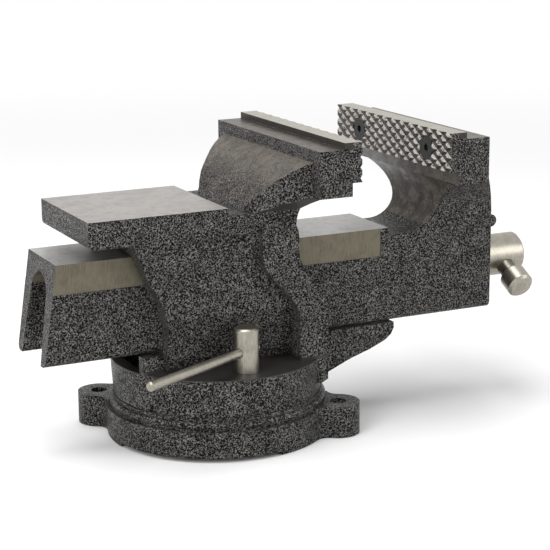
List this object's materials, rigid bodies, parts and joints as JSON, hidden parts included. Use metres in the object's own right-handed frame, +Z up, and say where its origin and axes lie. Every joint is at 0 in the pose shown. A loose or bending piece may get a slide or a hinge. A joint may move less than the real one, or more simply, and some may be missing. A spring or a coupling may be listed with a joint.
{
  "type": "bench vise",
  "caption": "Bench vise with box slide, anvil, flared jaws with diamond plates, lead screw and sliding handle, on a lockable swivel base with two bolt lugs.",
  "frame": {"origin": "swivel axis at the underside of the base", "axes": "+X along the slide towards the handle, +Z up, -Y is the side seen in the picture"},
  "size_m": [0.2965, 0.1668, 0.162],
  "materials": {
    "hammer_paint": "dark hammered enamel with light grey veins, machined faces bare",
    "plate_steel": "dark hardened steel, bright crests on the diamond pattern",
    "dark_screws": "blackened steel",
    "bright_steel": "bright plated steel, satin",
    "raw_iron": "bare cast iron, greased"
  },
  "bodies": {
    "base": {"swivel_base": "hammer_paint"},
    "body": {"fixed_body": "hammer_paint", "fixed_jaw_plate": "plate_steel", "fixed_jaw_screws": "dark_screws", "screw_nut": "raw_iron", "nut_bolt": "bright_steel", "nut_bolt_washer": "bright_steel", "clamp_nut_near": "raw_iron", "clamp_nut_far": "raw_iron"},
    "jaw": {"movable_jaw": "hammer_paint", "movable_jaw_plate": "plate_steel", "movable_jaw_screws": "dark_screws", "thrust_washer": "dark_screws", "inner_washer": "dark_screws"},
    "screw": {"lead_screw": "bright_steel", "retaining_collar": "bright_steel", "collar_pin": "bright_steel"},
    "handle": {"handle_bar": "bright_steel", "handle_cap_near": "bright_steel", "handle_cap_far": "bright_steel"},
    "lock_near": {"lock_screw_near": "bright_steel"},
    "lock_far": {"lock_screw_far": "bright_steel"},
    "lock_near_bar": {"lock_bar_near": "bright_steel"},
    "lock_far_bar": {"lock_bar_far": "bright_steel"}
  },
  "joints": [
    {"name": "body_swivel", "type": "hinge", "parent": "base", "child": "body", "pos_m": [0, 0, 0], "axis": [0, 0, 1], "continuous": true},
    {"name": "jaw_slide", "type": "slide", "parent": "body", "child": "jaw", "axis": [1, 0, 0], "range_m": [-0.0523, 0.055]},
    {"name": "screw_spin", "type": "hinge", "parent": "jaw", "child": "screw", "pos_m": [0, 0, 0.077], "axis": [1, 0, 0], "range_deg": [-4710, 4955]},
    {"name": "handle_slide", "type": "slide", "parent": "screw", "child": "handle", "axis": [0, -0.891, -0.454], "range_m": [-0.0064, 0.0704]},
    {"name": "lock_near_turn", "type": "hinge", "parent": "body", "child": "lock_near", "pos_m": [-0.002, -0.043, 0.043], "axis": [0, 0, 1], "range_deg": [-20, 120]},
    {"name": "lock_near_bar_slide", "type": "slide", "parent": "lock_near", "child": "lock_near_bar", "axis": [-0.891, -0.454, 0], "range_m": [-0.004, 0.0025]},
    {"name": "lock_far_turn", "type": "hinge", "parent": "body", "child": "lock_far", "pos_m": [-0.002, 0.043, 0.043], "axis": [0, 0, 1], "range_deg": [-120, 20]},
    {"name": "lock_far_bar_slide", "type": "slide", "parent": "lock_far", "child": "lock_far_bar", "axis": [-0.891, 0.454, 0], "range_m": [-0.004, 0.0025]}
  ],
  "couplings": [
    {"joint": "screw_spin", "follows": "jaw_slide", "rad_per_m": 1570.8}
  ]
}
